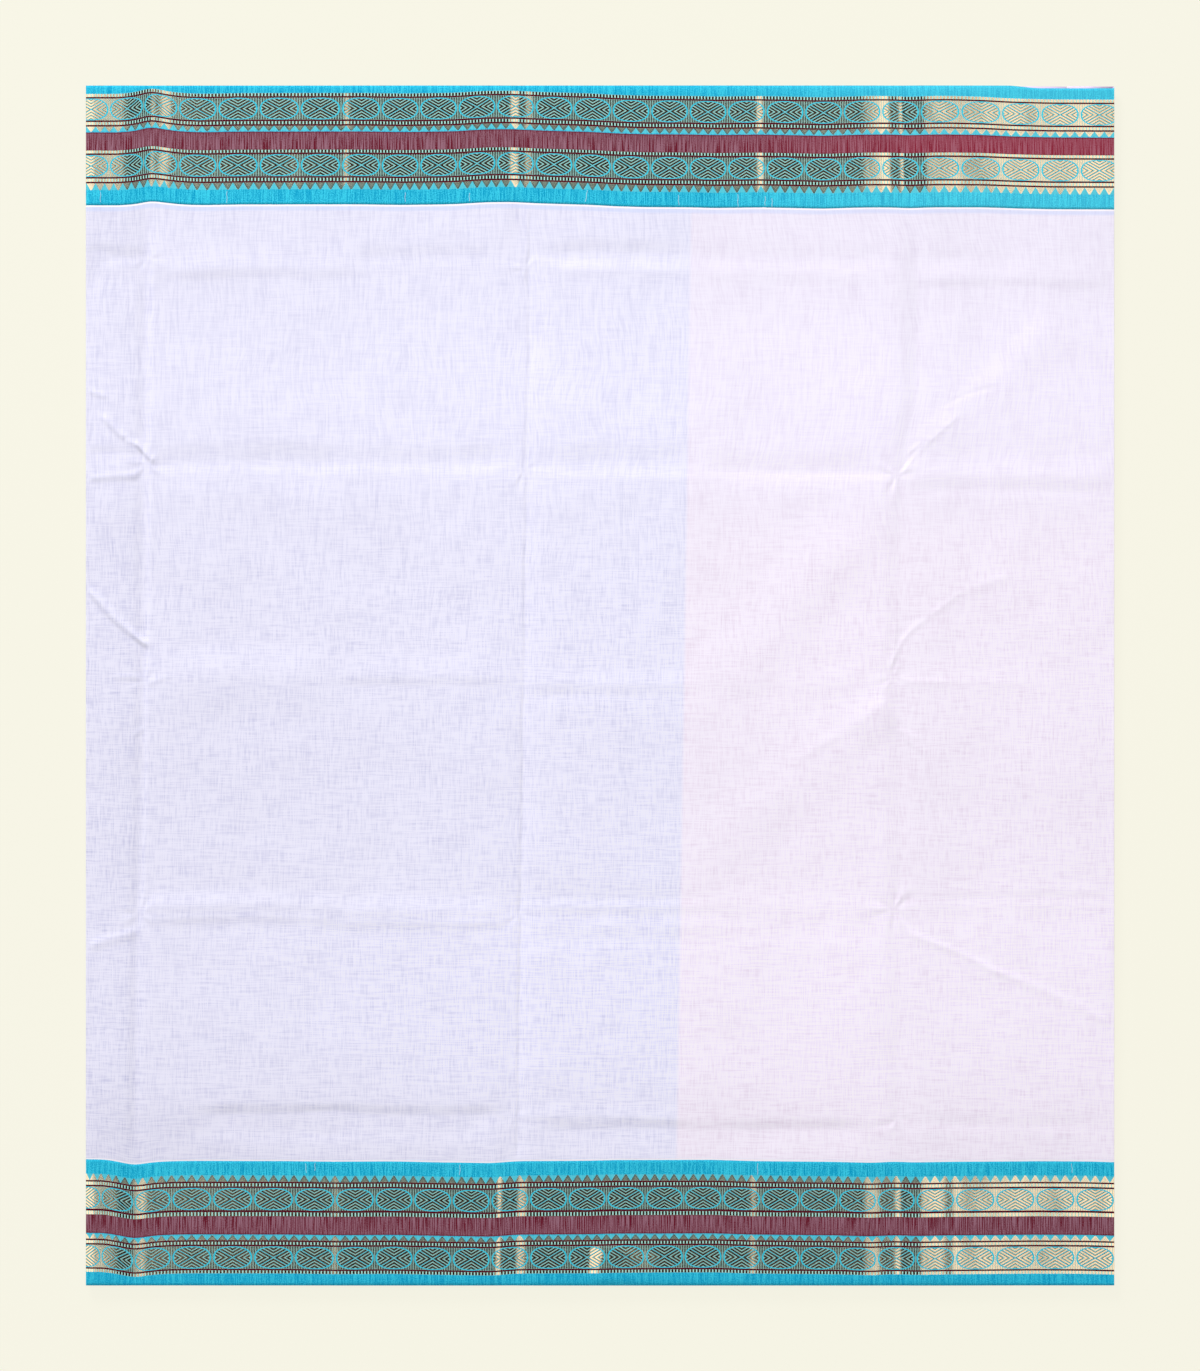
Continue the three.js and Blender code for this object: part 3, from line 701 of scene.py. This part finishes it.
def border_group():
    """The woven border, from Along, counted in ovals, and Out, in millimetres from the field.

    Puts out the yarn's colour, with painted sheen toward the far border's right end and painted shadow
    beside the gold chevrons, the share of gold thread, and the height of the threads.
    """
    tree, (along, out), put = new_group(
        "woven border",
        {"Along": "Float", "Out": "Float"},
        {"Colour": "Color", "Gold": "Float", "Height": "Float"},
    )
    near = along.rise(NEAR_COUNT - 20, NEAR_COUNT - 19)

    def stripe(name):
        return out.within(*STRIPES[name], SOFT)

    def beats(per_oval, width):
        """Threads that repeat a number of times in each oval: 1 on a share of each repeat, else 0."""
        return ((along * per_oval).part() - 0.5).size().rise(width / 2 + 0.02, width / 2 - 0.02)

    def ovals(name):
        """A row of ovals with chevrons that point to the middle of each, mesh between them, and a
        painted shadow in a gap beside each chevron.
        """
        start, end = STRIPES[name]
        half_height, half_width = (end - start) / 2 - 0.15, OVAL_LENGTH / MM * 0.47
        up = (out - (start + end) / 2).size()
        side = (((along + 0.5).part() - 0.5) * (OVAL_LENGTH / MM)).size()
        high, wide = up / half_height, side / half_width
        ring = high.math("POWER", OVAL_POWER) + wide.math("POWER", OVAL_POWER)
        inside = ring.rise(0.86, 0.84)
        outline = ring.within(0.85, 1.03, 0.03)
        slanted = up - side * CHEVRON_SLOPE
        beat = (slanted / CHEVRON_PITCH).part()
        chevrons = (beat - 0.45).size().rise(0.26, 0.22)
        # Painted shadow in a stripe beside each chevron of gold thread
        gap_shadow = beat.within(0.67, 0.85, 0.04)
        cross = slanted.size().rise(0.55, 0.35) * side.rise(15, 14) * 0.6
        mesh = beats(16, 0.76) * ((out / 1.25).part() - 0.5).size().rise(0.44, 0.4)
        gold = inside * chevrons + ring.rise(1.02, 1.04) * mesh
        drawn = outline.most(inside * cross)
        # The ground takes the painted shadow in the gaps, and a tenth of it over all of the near
        # border's ovals
        ground = mix_colour(tree, (inside * gap_shadow).most(near * 0.1), TEAL_GREY, GAP_SHADOW)
        return stripe(name), gold * (1 - drawn), mix_colour(tree, drawn, ground, bright)

    def dots(name):
        return stripe(name), beats(12, 0.62), DOT_GROUND

    def teeth(name):
        start, end = STRIPES[name]
        flank = ((along * 4 + 0.5).part() - 0.5).size() * 2
        depth = (out - start) / (end - start) * 0.84 + 0.16 - flank
        heart = 1 - depth.rise(0.3, 0.36) * 0.15
        tooth = depth.rise(0.0, 0.04)
        share = tooth * beats(36, 0.8) * heart + beats(36, 0.3) * 0.1
        return stripe(name), share, mix_colour(tree, tooth * 0.85 + 0.15, bright, TEAL_GREY)

    streak = noise(tree, along * 22, out * 0.07, 0.0, 3.0, 0.7)
    fine = noise(tree, along * 46, out * 0.05, 3.0, 1.0, 0.6)
    fleck = noise(tree, along * 38, out * 0.9, 5.0, 1.0)
    mottle = (streak * 0.2 + fine * 0.4 + fleck * 0.4).rise(0.42, 0.58)
    yarn = mix_colour(tree, 0.15, mix_colour(tree, mottle, CYAN_DEEP, CYAN_PALE), CYAN)
    yarn = mix_colour(tree, out.rise(107.5, 108.5) * 0.15, yarn, CYAN_OUTER)
    # Painted sheen: toward its right end the far border's cyan and maroon are brighter
    painted_sheen = along.rise(*PAINTED_SHEEN_COUNTS) * (1 - near)
    yarn = mix_colour(tree, painted_sheen * 0.2, yarn, CYAN_PAINTED_SHEEN)
    bright = mix_colour(tree, 0.6, yarn, OVAL_LINE)
    gold, lines = 0.0, 0.0
    for name in STRIPES:
        kind = name.split("_")[0]
        if kind == "line":
            lines = stripe(name) + lines
        elif kind != "band":
            stretch, share, surface = {"ovals": ovals, "dots": dots, "teeth": teeth}[kind](name)
            yarn = mix_colour(tree, stretch, yarn, surface)
            gold = stretch * share + gold
    yarn = mix_colour(tree, lines, yarn, MAROON_LINE)
    gold = gold * (1 - lines)
    band = stripe("band")
    rib = noise(tree, along * 45, out * 0.03, 7.0, 1.0, 0.6)
    rib = rib * 0.8 + fleck * 0.2
    ribs = mix_colour(tree, rib.rise(0.43, 0.57), MAROON, MAROON_PALE)
    ribs = mix_colour(tree, painted_sheen * 0.3, ribs, MAROON_PAINTED_SHEEN)
    inner, outer = STRIPES["band"]
    rims = out.within(inner, inner + 0.8, SOFT) * 0.4 + out.within(outer - 1.2, outer, SOFT) * 0.6
    yarn = mix_colour(tree, band, yarn, mix_colour(tree, rims, ribs, MAROON))
    put("Colour", yarn)
    put("Gold", gold.least(1.0))
    put("Height", gold * 0.6 + lines * 0.3 + rib * band * 0.4 + fine * 0.15)
    return tree


def sheer_group():
    """The sheer weave, from Along and Across in millimetres: short warp and weft streaks over each
    other, slanting grain where two layers cross, and patches where one or the other is stronger.

    Puts out how much of the thread's shadow shows, from 0 to 1, and the height of the threads.
    """
    tree, (along, across), put = new_group(
        "sheer weave", {"Along": "Float", "Across": "Float"}, {"Shadow": "Float", "Height": "Float"}
    )
    warp = noise(tree, along * 0.36, across * 0.02, 0.0, 2.0, 0.7)
    weft = noise(tree, along * 0.024, across * 0.34, 4.0, 2.0, 0.7)
    patch = noise(tree, along * 0.017, across * 0.011, 9.0, 2.5, 0.6)
    drift = noise(tree, along * 0.014, across * 0.012, 2.0, 1.5)
    grain = noise(tree, along * 0.5 + drift * 14, across * 0.03, 6.0, 1.0, 0.6)
    cloudy = noise(tree, along * 0.05, across * 0.03, 12.0, 3.0, 0.6)
    thread = noise(tree, along * 0.95, across * 0.07, 5.0, 0.0)
    close = noise(tree, along * 0.05, across * 0.85, 8.0, 1.0)
    closer = across.rise(230, 60, 0.45, 1.0)
    grained = (patch + across * 0.0006).rise(0.36, 0.62)
    shadow = (
        (warp - 0.5) * 2.1
        + (weft - 0.5) * (1 - grained * 0.5) * 2.5
        + (grain - 0.5) * grained * 1.9
        + (cloudy - 0.5) * 0.9
        + ((thread - 0.5) * 2.4 + (close - 0.5) * 3.0) * closer
    )
    put("Shadow", shadow * 0.9 + 0.36)
    put("Height", warp * 0.5 + weft * 0.5)
    return tree


BORDER = border_group()
SHEER = sheer_group()


def new_material(name, **constants):
    """A material with a Principled shader whose constant inputs are set on its own sockets."""
    material = bpy.data.materials.new(name)
    material.use_nodes = True
    shader = material.node_tree.nodes["Principled BSDF"]
    for title, value in constants.items():
        shader.inputs[title.replace("_", " ")].default_value = value
    return material, material.node_tree, shader


def cloth_places(tree):
    """The cloth's own UV map as two Amounts, and the Object coordinates as three."""
    uv_node = tree.nodes.new("ShaderNodeUVMap")
    uv_node.uv_map = "cloth"
    coordinates = tree.nodes.new("ShaderNodeTexCoord")
    return parts_of(tree, uv_node.outputs["UV"])[:2], parts_of(tree, coordinates.outputs["Object"])


def ramp(tree, place, table):
    """The line through a table of (place, value), as an Amount."""
    places, values = np.array(table, float).T
    low, high = values.min(), values.max()
    node = tree.nodes.new("ShaderNodeValToRGB")
    stops = node.color_ramp.elements
    shares = (places - places[0]) / (places[-1] - places[0])
    for share, value in zip(shares, (values - low) / (high - low)):
        stop = stops[0] if share == 0 else stops[-1] if share == 1 else stops.new(share)
        stop.color = (value, value, value, 1.0)
    plug(tree, place.rise_evenly(places[0], places[-1]), node.inputs["Fac"])
    return Amount(tree, node.outputs["Color"]) * (high - low) + low


def scaled(tree, value, factor):
    """A colour times a number."""
    node = tree.nodes.new("ShaderNodeVectorMath")
    node.operation = "SCALE"
    plug(tree, value, node.inputs[0])
    plug(tree, factor, node.inputs["Scale"])
    return node.outputs[0]


def raised(tree, height, strength, distance):
    """The normal of a surface raised by height."""
    bump = tree.nodes.new("ShaderNodeBump")
    bump.inputs["Strength"].default_value = strength
    bump.inputs["Distance"].default_value = distance
    plug(tree, height, bump.inputs["Height"])
    return bump.outputs["Normal"]


# Painted shade and light on the field, by place in millimetres along and across it, in levels of 255:
# the strip left of the first valley is darker, and the shelf before the last fold is brighter
PAINTED_SHADE_ALONG = [
    (-497, -4.6), (-450, -4.0), (-438, -2.6), (-338, -1.4), (-203, 0.8), (-88, 3.0), (53, 3.6),
    (101, 3.0), (240, 5.6), (281, 5.6), (292, 2.4), (370, 5.2), (497, 5.6),
]
PAINTED_SHADE_ACROSS = [
    (-460, -2.0), (-410, -0.4), (-374, 2.3), (-324, 3.6), (-230, 4.2), (-204, 1.2), (-73, -0.5),
    (-22, 0.6), (28, 0.5), (178, -0.9), (204, 1.0), (300, 1.9), (350, -0.7), (410, -4.4), (464, -5.2),
]
# A level of 255 near white, as a share of the light
LEVEL = 0.009
# Where the layers beneath change from bluish to pinkish, as x at y = 0 and its lean
TINT_EDGE = 80.5 * MM
TINT_LEAN = 0.0153
YARN_ROUGHNESS = 0.75
GOLD_ROUGHNESS = 0.12


def field_material():
    """White sheer cloth, tinted by the layers beneath: bluish to the left, pinkish to the right, with
    painted shade and light by place and a painted shadow by the far seam.
    """
    material, tree, shader = new_material(
        "sheer white cloth", Roughness=0.8, Specular_IOR_Level=0.15, Sheen_Weight=0.06,
        Sheen_Roughness=0.4,
    )
    (along, across), (x, y, _) = cloth_places(tree)
    weave = use_group(tree, SHEER, along=along * (1 / MM), across=across * (1 / MM))
    tint = (x - y * TINT_LEAN).rise(TINT_EDGE - 2 * MM, TINT_EDGE + 3 * MM)
    left_strip = x.rise(-450 * MM, -436 * MM, 1.0, 0.0)
    pink = tint * (1 - y.rise(110 * MM, 260 * MM) * 0.34)
    strength = tint.math("MULTIPLY_ADD", -0.1, 0.42) + left_strip * 0.1
    light = mix_colour(tree, pink, WHITE_BLUE, WHITE_PINK)
    dark = mix_colour(tree, pink, SHADOW_BLUE, SHADOW_PINK)
    cloth = mix_colour(tree, (weave["Shadow"] * strength).most(0.0), light, dark)
    # Painted shade and light: the cloth is darkened or lightened by place
    painted_shade = ramp(tree, x / MM, PAINTED_SHADE_ALONG) + ramp(tree, y / MM, PAINTED_SHADE_ACROSS)
    cloth = scaled(tree, cloth, painted_shade * LEVEL + 1)
    # A painted shadow lies as a pale blue strip by the far seam, and both seams have a pale edge
    far_gap = FAR_SEAM - across
    # The painted shadow: a pale blue strip just inside the far seam
    beneath = far_gap.within(1.2 * MM, 5.5 * MM, 3 * MM)
    cloth = mix_colour(tree, beneath * 0.45, cloth, SEAM_SHADOW_BLUE)
    edge_line = far_gap.rise(1.9 * MM, 1.2 * MM) + (across - NEAR_SEAM).rise(1.6 * MM, 0.8 * MM)
    cloth = mix_colour(tree, edge_line, cloth, SEAM_LINE)
    plug(tree, cloth, shader.inputs["Base Color"])
    plug(tree, raised(tree, weave["Height"], 0.3, 0.15 * MM), shader.inputs["Normal"])
    return material


def border_material(name, inner_white):
    """The woven border: cyan, teal and maroon yarn that is matt, with gold thread that mirrors."""
    material, tree, shader = new_material(name, Specular_IOR_Level=0.1)
    (along, out), (x, y, z) = cloth_places(tree)
    woven = use_group(tree, BORDER, along=along, out=out * (1 / MM))
    gold, yarn = woven["Gold"], woven["Colour"]
    if inner_white:
        yarn = mix_colour(tree, out.rise(0.4 * MM, -0.4 * MM), yarn, WHITE_BLUE)
        gold = gold * out.rise(0.0, 1 * MM)
    # Where the selvedge is drawn back, the layer beneath it shows
    selvedge = y.rise(HALF_WIDTH - 3.6 * MM, HALF_WIDTH - 3.2 * MM) * x.rise(380 * MM, 400 * MM)
    selvedge = selvedge * z.rise(TOP - 1.2 * MM, TOP - 0.9 * MM, 1.0, 0.0)
    yarn = mix_colour(tree, selvedge, yarn, UNDER_SELVEDGE)
    plug(tree, mix_colour(tree, gold, yarn, GOLD), shader.inputs["Base Color"])
    plug(tree, gold, shader.inputs["Metallic"])
    plug(tree, gold.rise(0.0, 1.0, YARN_ROUGHNESS, GOLD_ROUGHNESS), shader.inputs["Roughness"])
    plug(tree, raised(tree, woven["Height"], 0.06, 0.1 * MM), shader.inputs["Normal"])
    return material


def thread_material():
    """Pale loose thread with a faint sheen."""
    material, tree, shader = new_material("loose thread", Roughness=0.6, Sheen_Weight=0.2)
    _, (x, y, _) = cloth_places(tree)
    twist = noise(tree, x * 2000, y * 1200, 0.0)
    plug(tree, mix_colour(tree, twist, THREAD_BLUE, THREAD_WHITE), shader.inputs["Base Color"])
    return material


FIELD_CLOTH = field_material()
BORDER_CLOTH = border_material("woven border cloth", False)
LAYER_CLOTH = border_material("folded layer cloth", True)
LOOSE_THREAD = thread_material()


# Stretches in millimetres where the grids are dense: from, to, step. Columns as along the far edge
FIELD_COLUMNS = [
    (-497, -494, 0.8), (-494, -446, 2.6), (-446, -424, 1.2), (-80, -64, 1.0), (278, 300, 1.3),
    (300, 395, 2.6), (494, 497, 0.8),
]
FIELD_ROWS = [
    (-440, -404, 2.0), (-330, -196, 2.4), (-66, -28, 2.6), (-14, 14, 2.0), (14, 110, 2.6),
    (186, 292, 2.2), (388, 420, 2.0),
]
BORDER_COLUMNS = [
    (-497, -494, 0.8), (-470, -400, 1.4), (-262, -246, 1.6), (-100, -55, 1.4), (-14, 14, 2.0),
    (146, 162, 1.6), (245, 315, 1.4), (494, 497, 0.8),
]
BORDER_ROWS = 44
# The field's flap under each border, and how far it lies below the border's edge
FLAP = 1.5 * MM
FLAP_DROP = 0.25 * MM


def make_field():
    """The field of the top layer, from seam to seam, with a hidden flap under each border."""
    columns = spread(-HALF_LENGTH / MM, HALF_LENGTH / MM, FIELD_COLUMNS, 5.6) * MM
    line = spread(NEAR_SEAM / MM, FAR_SEAM / MM, FIELD_ROWS, 5.4) * MM
    rows = np.concatenate([[NEAR_SEAM - FLAP], line, [FAR_SEAM + FLAP]])

    def row_y(x):
        y = np.broadcast_to(rows[:, None], x.shape)
        return y + seam_offset(x, y)

    points, along = top_stretch(columns, rows, row_y)
    inside = slice(1 + FOLD_STEPS, -(1 + FOLD_STEPS))
    points[[0, -1], inside, 2] -= FLAP_DROP
    across = np.broadcast_to(rows[:, None], points.shape[:2])
    grids = [(points, along, across)]
    piece = cloth_piece("saree_field", grids, FIELD_CLOTH, ["top_field"])


def oval_count(x, table, start):
    """Count of woven ovals at x, by the table and evenly past its ends."""
    places, counts = np.array(table, float).T
    places *= MM
    past = np.where(x < places[0], x - places[0], 0) + np.where(x > places[-1], x - places[-1], 0)
    return start + np.interp(x, places, counts) + past / OVAL_LENGTH


def make_border(name, node, side, seam, ripple, ovals, outs, start):
    """A border of the top layer: its rows run from the rippled seam to the straight selvedge."""
    columns = spread(-HALF_LENGTH / MM, HALF_LENGTH / MM, BORDER_COLUMNS, 3.2) * MM
    selvedge = far_selvedge if side > 0 else lambda x: -HALF_WIDTH + 0 * x
    shares = np.linspace(0, 1, BORDER_ROWS)
    shares = shares if side > 0 else shares[::-1]
    rows = seam + (side * HALF_WIDTH - seam) * shares

    def row_y(x):
        inner = seam + ripple(x)
        edge = selvedge(x)
        below = smooth(np.linspace(0.2, 1, 1 + FOLD_STEPS))
        turned = edge[:, -len(below) :]
        turned += (side * (HALF_WIDTH - TURNED_SELVEDGE_INSET) - turned) * below
        return inner + (edge - inner) * shares[:, None]

    points, along = top_stretch(columns, rows, row_y)
    x, y = points[..., 0], points[..., 1]
    out = (y - (seam + ripple(x))) * side
    if side > 0:
        dip = np.exp(-(((x - STRIPE_DIP["x"]) / STRIPE_DIP["reach"]) ** 2))
        out = out * (1 - STRIPE_DIP["share"] * dip)
        end = smooth((x - FAR_NARROWING["start"]) / (FAR_NARROWING["end"] - FAR_NARROWING["start"]))
        out = out * (1 + FAR_NARROWING["share"] * end)
    places, stripes = np.array(outs, float).T
    out = np.interp(out / MM, places, stripes) * MM
    # Counted along the top, and evenly past it round the folds
    top = np.clip(np.arange(len(along)), 1 + FOLD_STEPS, len(along) - 2 - FOLD_STEPS)
    counts = oval_count(x[:, top], ovals, start) + (along - along[top]) / OVAL_LENGTH
    piece = cloth_piece(name, [(points, counts, out)], BORDER_CLOTH, [node])
    thicken(piece, CLOTH)


# The lower selvedges wander by this reach, in waves of this length for each radian
WANDER = {"reach": 0.3 * MM, "length": 61 * MM}


def lower_grid(path, near, far):
    """A lower layer's grid: a path (x, z) carried from the near to the far selvedge, which wander."""
    shares = spread(0, 1, [(0, 0, 0.004), (1, 1, 0.004)], 0.06)
    along = distances(path)
    wander = WANDER["reach"] * np.sin(along / WANDER["length"] + near * 900)
    y = near + wander + (far - near - 2 * wander) * shares[:, None]
    x, z = (np.broadcast_to(part, y.shape) for part in path.T)
    out = np.where(y > 0, y - FAR_SEAM, NEAR_SEAM - y)
    return np.stack([x, y, z], axis=-1), (along + path[0, 0]) / OVAL_LENGTH, out


def run_between(start, end, z, step=30 * MM):
    """Points (x, z) of a flat run, without its last point."""
    x = np.linspace(start, end, max(2, int(abs(end - start) / step)))[:-1]
    return np.stack([x, np.full(len(x), z)], axis=-1)


def make_layers():
    """Layers 2 to 5: 2 and 3 are joined by a fold at the left, 4 and 5 by one at the right."""
    upper_fold = {**fold_between(2, 3, -1), "x": LEFT_FOLD["x"]}
    lower_fold = {**fold_between(4, 5, 1), "x": LOWER_FOLD["x"]}
    turned = HALF_LENGTH - TURNED_IN - TURN_CLEARANCE
    upper = np.concatenate([
        run_between(turned, upper_fold["x"], layer_base(3)),
        fold_arc(upper_fold, 270, 90),
        run_between(turned, upper_fold["x"], layer_base(2) + WALL)[::-1],
    ])
    cut = FIFTH_CUT_INSET - HALF_LENGTH
    lower = np.concatenate([
        run_between(-turned, lower_fold["x"], layer_base(4) + WALL),
        fold_arc(lower_fold, 90, -90),
        run_between(cut, lower_fold["x"], layer_base(5))[::-1],
    ])
    grids = [
        lower_grid(path, near - HALF_WIDTH, HALF_WIDTH - far)
        for path, (near, far) in ((upper, UPPER_PAIR_INSETS), (lower, LOWER_PAIR_INSETS))
    ]
    piece = cloth_piece("saree_layers", grids, LAYER_CLOTH, ["hidden_layers"])
    thicken(piece, CLOTH)


def make_bottom():
    """The layer that lies on the surface, with the lower fold at the right."""
    path = np.concatenate([
        run_between(HALF_LENGTH - TURNED_IN, LOWER_FOLD["x"], layer_base(3) + WALL, 15 * MM),
        fold_arc(LOWER_FOLD, 90, -90),
        run_between(SIXTH_CUT_INSET - HALF_LENGTH, LOWER_FOLD["x"], layer_base(6))[::-1],
    ])
    edge = HALF_WIDTH - BOTTOM_INSET
    grids = [lower_grid(path, -edge, edge)]
    piece = cloth_piece("saree_bottom", grids, LAYER_CLOTH, ["bottom_stretch"])
    thicken(piece, CLOTH)


def make_threads():
    """Loose threads: thin six-sided tubes that lie along the inner cyan stripe of each border."""
    grids = []
    for side, seam, ripple, table in (
        (1, FAR_SEAM, far_ripple, FAR_THREADS),
        (-1, NEAR_SEAM, near_ripple, NEAR_THREADS),
    ):
        for x, start, end, lean in table:
            share = np.linspace(0, 1, 12)
            middle_x = (x + lean * share + 0.25 * np.sin(share * 9 + x)) * MM
            middle_y = seam + ripple(middle_x) + side * (start + (end - start) * share) * MM
            middle_z = TOP + relief(middle_x, middle_y) + THREAD_RADIUS * 0.7
            turn = np.linspace(0, 2 * math.pi, 7)[:, None]
            around_x = middle_x + THREAD_RADIUS * np.cos(turn)
            around_z = middle_z + THREAD_RADIUS * np.sin(turn)
            around_y = np.broadcast_to(middle_y, around_x.shape)
            tube = np.stack([around_x, around_y, around_z], axis=-1)
            grids.append((tube[::-side], share, np.zeros(around_x.shape)))
    cloth_piece("loose_threads", grids, LOOSE_THREAD)


def make_floor():
    """A plain pale floor, mostly of its own light, so that the key light leaves it nearly even."""
    size, depth = 6.0, 0.3 * MM
    mesh = bpy.data.meshes.new("floor")
    corners = [(x * size, y * size, -depth) for x, y in ((-1, -1), (1, -1), (1, 1), (-1, 1))]
    mesh.from_pydata(corners, [], [(0, 1, 2, 3)])
    mesh.materials.append(new_material(
        "pale floor", Base_Color=(*(part * 0.08 for part in FLOOR_CREAM), 1), Roughness=1.0,
        Specular_IOR_Level=0.0, Emission_Color=(*FLOOR_CREAM, 1), Emission_Strength=0.92,
    )[0])
    placed("floor", mesh)


def make_camera():
    """Straight down from the middle, so that the picture's pixel is PIXEL on the cloth's top."""
    camera = bpy.data.cameras.new("overhead")
    camera.sensor_width = 36.0
    camera.lens = camera.sensor_width * CAMERA_HEIGHT / (PICTURE_HEIGHT * PIXEL)
    camera.clip_end = 50.0
    thing = placed("overhead", camera)
    thing.location = (0, 0, CAMERA_HEIGHT + 0.7 * TOP)
    bpy.context.scene.camera = thing


# The studio: a dark card overhead, bright screens beside it, a dimmer dome, and one key light.
# Angles from straight up, in degrees, and radiances
CARD = {"left": 10.6, "right": 8.6, "side": 26, "edge": 0.5}
SCREEN = {"across": 34, "side": 40, "edge": 6}
RADIANCE = {"card": 0.012, "screen": 1.32, "dome": 0.32}
KEY = {"place": (-2.3, 4.9, 2.85), "size": 1.6, "power": 290}


def make_light():
    """The world's radiance by direction, from the card, the screens and the dome, and the key light."""
    world = bpy.data.worlds.new("studio")
    bpy.context.scene.world = world
    world.use_nodes = True
    tree = world.node_tree
    coordinates = tree.nodes.new("ShaderNodeTexCoord")
    x, y, z = parts_of(tree, coordinates.outputs["Generated"])
    up = z.most(0.001)
    degrees = 180 / math.pi
    lean_x, lean_y = ((part / up).math("ARCTANGENT") * degrees for part in (x, y))
    card = lean_x.within(-CARD["left"], CARD["right"], CARD["edge"])
    card = card * lean_y.within(-CARD["side"], CARD["side"], 2.0)
    wide, side, soft = SCREEN["across"], SCREEN["side"], SCREEN["edge"]
    screen = lean_x.within(-wide, wide, soft) * lean_y.within(-side, side, soft)
    shine = screen * (RADIANCE["screen"] - RADIANCE["dome"]) + RADIANCE["dome"]
    shine = shine * (1 - card) + card * RADIANCE["card"]
    plug(tree, shine, tree.nodes["Background"].inputs["Strength"])
    tree.nodes["Background"].inputs["Color"].default_value = (1, 1, 1, 1)
    lamp = bpy.data.lights.new("key", "AREA")
    lamp.size = KEY["size"]
    lamp.energy = KEY["power"]
    key = placed("key", lamp)
    key.location = KEY["place"]
    x, y, z = KEY["place"]
    key.rotation_euler = (math.atan2(math.hypot(x, y), z), 0, math.atan2(-y, -x) - math.pi / 2)


make_camera()
make_light()
make_floor()
make_bottom()
make_layers()
make_field()
make_border("saree_far_border", "far_border", 1, FAR_SEAM, far_ripple, FAR_OVALS, OUT_FAR, 0)
make_border(
    "saree_near_border", "near_border", -1, NEAR_SEAM, near_ripple, NEAR_OVALS, OUT_NEAR, NEAR_COUNT
)
make_threads()
bpy.context.scene.view_settings.view_transform = "Standard"
